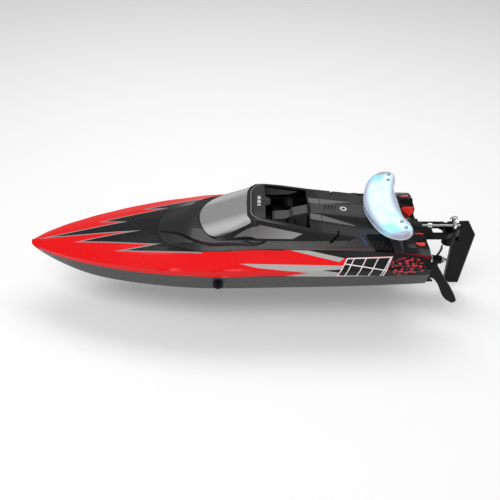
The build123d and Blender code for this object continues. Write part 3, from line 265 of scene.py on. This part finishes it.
# side outlines, x aft and distance down the side
SIDE_ZERO_Z = 19.0                 # the height at the middle line where that distance is 0
UPPER_BAND = [(35, 0), (49, -0.3), (84, 7.4), (79, 10.7)]
SWOOSH = [
    [(-9, 12.2), (83, 13.9), (79, 23.0), (6.5, 16)],
    [(22, 24.6), (52.8, 20.4), (82, 20.4), (80, 24.6)],
]
SLIVER = [(63.5, 18.1), (81, 17.2), (81, 20.4)]
AFT_FIELD = [
    [(49, -0.3), (84, 7.4), (200, 33), (200, -30), (49, -30)],
    [(116, -37), (65.7, 42), (200, 42), (200, -37)],
]
AFT_FIELD_TOP = -25.0              # the dark aft field stops here, going up
AFT_WEDGE = [(148, 2.8), (161, 5.8), (161, 8.4), (148, 5.0)]
BADGE = [(77.8, 23.1), (86.7, 7.9), (125.8, 6.5), (118.1, 23.5)]
BADGE_LINE = 0.65                  # the badge's pale border, outside its outline
BADGE_EDGE = 0.95                  # the coral line outside that
BAR_HALF_PITCH = 5.3
BAR_SHIFT = 1.5
BAR_SLANT = 0.55
CUT_X, CUT_DOWN, CUT_SLOPE = 102.0, 15.2, 0.16
SPOT_FIELD = [(126, 9), (140, 6), (153, 8), (156, 19), (133, 23), (123, 20)]
SPOT_STRETCH = (0.7, 1.0, 1.4)
SPOT_SCALE = 420.0
SPOT_RADIUS = 0.46                 # in cells
# where the painted highlight along the knuckle edge starts, and how it runs down the side
KNUCKLE_HIGHLIGHT_X, KNUCKLE_HIGHLIGHT_DOWN, KNUCKLE_HIGHLIGHT_SLOPE = 125.0, 12.4, 0.175

# the thin line beside the hatch joint, which drops away behind JOINT_BEND_X
JOINT_START_X = 49.0
JOINT_BEND_X = 110.0
JOINT_RISE = 0.7
JOINT_SLOPE = 0.14
JOINT_HALF = 0.45


def side_axes(look):
    """x, y, z and the distance down the side as the camera sees it, the same on both sides."""
    x, y, z = look.axes()
    down = y.size() * math.sin(CAMERA_TILT) - (z - SIDE_ZERO_Z) * math.cos(CAMERA_TILT)
    return x, y, z, down


def stroke(offset, half_width, blur):
    """1 on a line of the given half width, where the offset from it is 0."""
    return offset.size().above(half_width, blur) * -1.0 + 1.0


def joint_line(x, down):
    centre = (x - JOINT_BEND_X).most(0.0) * JOINT_SLOPE - JOINT_RISE
    return stroke(down - centre, JOINT_HALF, 0.2) * x.above(JOINT_START_X, 2.0)


def badge_bars(x, down, badge):
    """Slanted bars inside the badge, cut across once."""
    bars = (x + down * BAR_SLANT - BAR_SHIFT).zigzag(BAR_HALF_PITCH)
    cut = (down - CUT_DOWN - (x - CUT_X) * CUT_SLOPE).size()
    return badge.above(0.35) * bars.above(0.5) * cut.above(0.5)


def flashes(look):
    x, y, _, down = side_axes(look)
    fore = union(x, y, *SPIKES, FORE_FIELD)
    look.paint(fore.above(-FORE_OUTLINE) * x.below(FORE_OUTLINE_END, 3.0), LINE_GREY)
    look.paint(fore.above(), DARK)

    look.paint(union(x, down, *AFT_FIELD).above() * down.above(AFT_FIELD_TOP), DARK)
    look.paint(inside(x, down, UPPER_BAND).above(), LIGHT_GREY)
    look.paint(union(x, down, *SWOOSH).above(), LIGHT_GREY)
    look.paint(inside(x, down, SLIVER).above(), DARK)

    badge = inside(x, down, BADGE)
    look.paint(badge.above(-BADGE_EDGE), CORAL)
    look.paint(badge.above(-BADGE_LINE), PALE_PINK)
    look.paint(badge_bars(x, down, badge), BAR_BLACK)

    cells = look.cells(SPOT_SCALE, look.stretched(SPOT_STRETCH))
    spots = (cells * -1.0 + SPOT_RADIUS).above(0.0, 0.08)
    look.paint(spots * inside(x, down, SPOT_FIELD).above(0.5, 3.0), CORAL)

    # painted highlight: a thin paler line along the knuckle edge, aft of where it starts
    knuckle_highlight = stroke(down - (x - KNUCKLE_HIGHLIGHT_X) * KNUCKLE_HIGHLIGHT_SLOPE - KNUCKLE_HIGHLIGHT_DOWN, 0.5, 0.3)
    look.paint(knuckle_highlight * x.above(KNUCKLE_HIGHLIGHT_X, 6.0), KNUCKLE_HIGHLIGHT_GREY)
    look.paint(joint_line(x, down), DARK_RED)
    look.paint(inside(x, down, AFT_WEDGE).above(), DARK_RED)


# ---------------------------------------------------------------- body finishes
STERN_SHADE_X = 110.0
STERN_SHADE_BLUR = 90.0


def hull_grey():
    """The lower hull, darker towards the stern."""
    look = Finish("hull_grey", (0.050, 0.050, 0.052), roughness=0.30, coat=0.1, mottle=0.05)
    x, _, _ = look.axes()
    look.paint(x.above(STERN_SHADE_X, STERN_SHADE_BLUR), (0.020, 0.020, 0.021))
    look.grain(2600.0, 0.004)
    look.grain(60.0, 0.03)
    return look.done()


def deck_red():
    look = Finish("deck_red", RED, roughness=0.26, coat=0.12, mottle=0.03, specular=0.18)
    flashes(look)
    look.grain(900.0, 0.003)
    return look.done()


RIM_RADIUS = 14.0                  # of the line's corners, seen from above
RIM_FRONT_X = 0.9                  # the line crosses the middle here
RIM_HALF_WIDTH, RIM_FLARE_X = 28.5, 8.3
RIM_FLARE = 0.089                  # the rails spread by this much per mm of x
RIM_HALF_LINE = 0.45
RIM_END_X = 60.0
RIM_LOWEST_Z = 62.0
REAR_QUARTER = [(131, -14), (137, 3.5), (180, 12), (180, -40), (134, -40)]
GLEAM = [(99.4, -11.5), (101.0, -11.5), (106.0, -2.6), (104.8, -2.6)]
# painted highlight on the rear top of the cover
SHOULDER_Y = 34.0                  # the paler rear top reaches this far out ...
SHOULDER_X = 64.0                  # ... and this far forward


def rim(x, y):
    """Distance from the raised line round the roof and along the cockpit rails."""
    ahead = (-x + (RIM_FRONT_X + RIM_RADIUS)).most(0.0)
    rail = (x - RIM_FLARE_X) * RIM_FLARE + (RIM_HALF_WIDTH - RIM_RADIUS)
    outboard = (y.size() - rail).most(0.0)
    return (ahead * ahead + outboard * outboard).root() - RIM_RADIUS


def cover_black():
    look = Finish("cover_black", (0.011, 0.011, 0.012), roughness=0.27, coat=0.12, mottle=0.06)
    x, y, z, down = side_axes(look)
    # painted highlight on the bevel of the raised rim round the roof and along the cockpit rails,
    # paler forward; the same mask also raises a small ridge in the relief
    line = rim(x, y).size().below(RIM_HALF_LINE, 0.3) * z.above(RIM_LOWEST_Z, 1.0)
    line = line * x.below(RIM_END_X, 6.0)
    look.paint(line * x.below(20.0, 30.0), (0.22, 0.22, 0.22))
    look.raise_by(line * 0.25)
    look.paint(joint_line(x, down) * down.above(-3.0), DARK_RED)
    look.paint(inside(x, down, REAR_QUARTER).above(), (0.075, 0.075, 0.076))
    look.paint(inside(x, down, GLEAM).above(0.3, 0.6), (0.02, 0.09, 0.48))
    # painted highlight: the rear top is painted paler than the flank below it
    painted_top_highlight = y.size().below(SHOULDER_Y, 3.0) * x.above(SHOULDER_X, 6.0)
    look.paint(painted_top_highlight * 0.7, (0.040, 0.040, 0.041))
    look.grain(300.0, 0.002)
    return look.done()


def plain(name, colour, roughness, grain=2200.0, height=0.006, **more):
    look = Finish(name, colour, roughness, **more)
    look.grain(grain, height)
    return look.done()


# painted reflection on the windscreen: the band it covers, in mm from the middle line
REFLECTION_BAND = (17.0, 30.0)
GLASS_EDGE_Y = 30.2
SIDE_GLASS_TOP_Z = 62.0


def windscreen_glass():
    """Grey glass, with a painted reflection in a paler band along each side, and dark at its
    edge.
    """
    look = Finish("windscreen_glass", (0.27, 0.27, 0.275), roughness=0.15, coat=0.4, mottle=0.02)
    _, y, _ = look.axes()
    across = y.size()
    # painted reflection: a paler band along each side of the glass
    look.paint(across.between(*REFLECTION_BAND, 9.0) * 0.85, (0.56, 0.56, 0.57))
    look.paint(across.above(GLASS_EDGE_Y, 1.2) * 0.8, (0.05, 0.05, 0.05))
    look.grain(40.0, 0.01)
    return look.done()


def side_glass():
    """Grey glass, paler aft and low down."""
    look = Finish("side_glass", (0.17, 0.17, 0.175), roughness=0.18, coat=0.3, mottle=0.02)
    x, _, z = look.axes()
    paler = x * 0.045 - (z - SIDE_GLASS_TOP_Z) * 0.06
    look.paint(paler.above(0.6, 1.6), (0.36, 0.36, 0.365))
    look.grain(40.0, 0.01)
    return look.done()


def vent_black():
    look = Finish("vent_black", (0.004, 0.004, 0.005), roughness=0.30, mottle=0.1, specular=0.12)
    x, _, z = look.axes()
    look.raise_by((x - z * 0.8).zigzag(2.2) * 0.03)
    look.grain(1600.0, 0.003)
    return look.done()


MARK_X, MARK_HALF_DEPTH, MARK_HALF_WIDTH = 8.4, 1.5, 8.0
MARK_HALF_PITCH = 3.0
RING_X, RING_INNER, RING_OUTER = 87.0, 1.9, 3.1


def roof_black():
    """The roof panel, with three plain bars for a mark."""
    look = Finish("roof_black", (0.026, 0.026, 0.027), roughness=0.34, mottle=0.06)
    x, y, _ = look.axes()
    depth = (x - MARK_X - y * 0.02).size().below(MARK_HALF_DEPTH, 0.3)
    bars = (y - 1.0).zigzag(MARK_HALF_PITCH).above(0.7, 0.3)
    look.paint(depth * bars * y.size().below(MARK_HALF_WIDTH, 0.3), (0.55, 0.55, 0.55))
    look.grain(2400.0, 0.002)
    return look.done()


def spine_grey():
    """The spine, with a plain ring for a mark."""
    look = Finish("spine_grey", (0.052, 0.052, 0.053), roughness=0.42, mottle=0.08)
    x, y, _ = look.axes()
    away = ((x - RING_X) * (x - RING_X) + y * y).root()
    look.paint(away.between(RING_INNER, RING_OUTER, 0.3), (0.78, 0.78, 0.78))
    look.grain(1600.0, 0.004)
    return look.done()


# ---------------------------------------------------------------- lit finishes
WING_MIDDLE_X = 120.7              # of the wing's curved middle line, at y 0
WING_CURVE = 0.0052
GLOW_HALF_DEPTH, GLOW_HALF_WIDTH = 10.0, 44.0


def clear_plastic():
    """The wing cover, with a painted cyan glow for the light from inside, bluer along the front
    of its tips.
    """
    look = Finish("clear_plastic", (0.72, 0.70, 0.80), roughness=0.14, coat=0.5, mottle=0.05)
    look.set("Transmission Weight", 0.6)
    look.set("IOR", 1.25)
    look.set("Thin Film Thickness", 420.0)
    look.set("Thin Film IOR", 1.4)
    x, y, _ = look.axes()
    across = y.size()
    aft = x - WING_MIDDLE_X - y * y * WING_CURVE
    patches = look.noise(75.0, detail=4.0).above(0.47, 0.22)
    lit = aft.size().below(GLOW_HALF_DEPTH, 5.0) * across.below(GLOW_HALF_WIDTH, 5.0)
    tips = across.above(33.0, 6.0) * aft.below(1.0, 3.0)
    tint = look.mix(patches, (0.50, 0.94, 1.0), (0.86, 0.93, 1.0))
    tint = look.mix(tips * 0.7, tint, (0.10, 0.66, 0.90))
    # painted glow on the cover, and its base colour painted a cyan grey where the glow lies
    look.glow(tint, lit * (patches * -0.20 + 0.80))
    look.paint(lit, (0.30, 0.42, 0.46))
    look.grain(160.0, 0.05)
    return look.done()


def frost_plastic():
    look = Finish("frost_plastic", (0.70, 0.72, 0.78), roughness=0.45, mottle=0.05)
    _, y, _ = look.axes()
    tint = look.mix(look.noise(70.0, detail=2.0), (0.25, 0.85, 1.0), (0.9, 1.0, 1.0))
    # painted glow: the frosted plastic glows cyan within 42 mm of the middle line
    look.glow(tint, y.size().below(42.0, 10.0) * 0.35)
    look.grain(500.0, 0.01)
    return look.done()


def lens_red():
    look = Finish("lens_red", (0.62, 0.012, 0.010), roughness=0.12, coat=1.0, mottle=0.1)
    _, _, z = look.axes()
    look.raise_by(z.zigzag(0.6) * 0.25)
    look.glow((1.0, 0.03, 0.01, 1), 0.25)
    return look.done()


def lamp():
    look = Finish("lamp", (0.85, 0.97, 1.0), roughness=0.3)
    look.glow((0.35, 0.9, 1.0, 1), 2.5)
    look.grain(900.0, 0.01)
    return look.done()


def board_white():
    look = Finish("board_white", (0.62, 0.70, 0.74), roughness=0.5)
    tracks = look.cells(260.0, feature="DISTANCE_TO_EDGE").above(0.06, 0.03)
    look.paint(tracks * -0.5 + 0.5, (0.35, 0.45, 0.5))
    # painted glow: the whole board glows cyan
    look.glow((0.55, 0.95, 1.0, 1), 0.5)
    look.grain(900.0, 0.01)
    return look.done()


# ---------------------------------------------------------------- inner finishes
def metal(name, colour, roughness, direction, height=0.004):
    look = Finish(name, colour, roughness, metallic=1.0, mottle=0.08)
    look.grain(1200.0, height, where=look.stretched(direction))
    return look.done()


def battery_wrap():
    look = Finish("battery_wrap", (0.02, 0.06, 0.22), roughness=0.28, coat=0.4)
    wrinkles = look.noise(90.0, detail=5.0, where=look.stretched((0.4, 2.0, 2.0)))
    look.raise_by(wrinkles * 0.35)
    _, y, _ = look.axes()
    look.paint(y.between(-3.0, 1.5), (0.45, 0.47, 0.5))
    return look.done()


def strap():
    look = Finish("strap", (0.014, 0.014, 0.015), roughness=0.85, mottle=0.25)
    x, y, z = look.axes()
    thread = 0.45
    warp = x.zigzag(thread) * 0.5
    weft = (y + z).zigzag(thread) * 0.5
    look.raise_by(warp.most(weft))
    look.set("Sheen Weight", 0.3)
    return look.done()


ALONG_X = (0.15, 1.0, 1.0)         # noise drawn out along x
ALONG_YZ = (1.0, 0.15, 0.15)
EVEN = (1.0, 1.0, 1.0)

OWN_FINISHES = {
    "windscreen": windscreen_glass(),
    "side_windows": side_glass(),
    "side_vents": vent_black(),
    "roof_panel": roof_black(),
    "spine_cover": spine_grey(),
}
FINISHES = {
    "hull_grey": hull_grey(),
    "deck_red": deck_red(),
    "cover_black": cover_black(),
    "trim_grey": plain("trim_grey", (0.075, 0.075, 0.078), 0.42, 1600.0, 0.004),
    "pad_grey": plain("pad_grey", (0.15, 0.15, 0.152), 0.38, 1400.0, 0.004),
    "black_plastic": plain("black_plastic", (0.004, 0.004, 0.0044), 0.34, specular=0.14),
    "clear_plastic": clear_plastic(),
    "frost_plastic": frost_plastic(),
    "lens_red": lens_red(),
    "lamp": lamp(),
    "board_white": board_white(),
    "soft_rubber": plain("soft_rubber", (0.018, 0.018, 0.018), 0.72, 1500.0, 0.012),
    "steel": metal("steel", (0.52, 0.52, 0.53), 0.26, ALONG_X),
    "chrome_metal": metal("chrome_metal", (0.80, 0.80, 0.81), 0.12, EVEN, 0.002),
    "alloy": metal("alloy", (0.60, 0.61, 0.63), 0.30, ALONG_YZ),
    "brass": metal("brass", (0.62, 0.42, 0.17), 0.28, ALONG_YZ),
    "battery_wrap": battery_wrap(),
    "strap": strap(),
}


def assign(node, material):
    mesh = node.data
    mesh.materials.clear()
    mesh.materials.append(material)
    node.material_slots[0].link = "OBJECT"
    node.material_slots[0].material = material


for part in frame["record"]["subparts"]:
    name = part["node"]
    assign(nodes[name], OWN_FINISHES.get(name) or FINISHES[part["material_slot"]])


# ---------------------------------------------------------------- stage
def add_object(name, data):
    thing = bpy.data.objects.new(name, data)
    bpy.context.scene.collection.objects.link(thing)
    return thing


def build_floor():
    mesh = bmesh.new()
    bmesh.ops.create_grid(
        mesh, x_segments=FLOOR_SQUARES, y_segments=FLOOR_SQUARES, size=FLOOR_HALF_SIZE
    )
    data = bpy.data.meshes.new("studio_floor")
    mesh.to_mesh(data)
    mesh.free()
    floor = add_object("studio_floor", data)
    floor.location.z = cad_box[0][2] - FLOOR_GAP
    look = Finish("studio_paper", (0.93, 0.93, 0.93), roughness=0.9, mottle=0.01)
    look.glow((1, 1, 1, 1), FLOOR_GLOW)
    look.grain(40.0, 0.05)
    data.materials.append(look.done())


def build_world():
    world = bpy.data.worlds.new("studio")
    bpy.context.scene.world = world
    world.use_nodes = True
    tree = world.node_tree
    background = tree.nodes["Background"]
    background.inputs["Color"].default_value = (1, 1, 1, 1)
    seen = Wire(tree, tree.nodes.new("ShaderNodeLightPath").outputs["Is Camera Ray"])
    strength = seen * WORLD_BACKDROP + WORLD_LIGHT
    tree.links.new(strength.socket, background.inputs["Strength"])


def build_camera():
    """Square to the boat's port side and looking down at it."""
    data = bpy.data.cameras.new("camera")
    data.lens = CAMERA_LENS
    data.sensor_width = CAMERA_SENSOR
    data.clip_start = 0.01
    camera = add_object("camera", data)
    away = Vector((0.0, -math.cos(CAMERA_TILT), math.sin(CAMERA_TILT)))
    camera.location = Vector(CAMERA_TARGET) + away * CAMERA_DISTANCE
    camera.rotation_euler = (math.pi / 2 - CAMERA_TILT, 0.0, 0.0)
    bpy.context.scene.camera = camera


def area_light(name, spot, size, power, target=(0, 0, 0.03)):
    data = bpy.data.lights.new(name, "AREA")
    data.shape = "RECTANGLE"
    data.size, data.size_y = size
    data.energy = power
    light = add_object(name, data)
    light.location = spot
    aim = Vector(target) - Vector(spot)
    light.rotation_euler = aim.to_track_quat("-Z", "Y").to_euler()


build_floor()
build_world()
build_camera()
area_light("key_softbox", spot=(-0.25, -0.5, 1.0), size=(0.9, 0.5), power=5.0)
area_light("top_strip", spot=(0.1, 0.35, 0.9), size=(1.2, 0.35), power=4.0)
bpy.context.scene.view_settings.view_transform = "Standard"
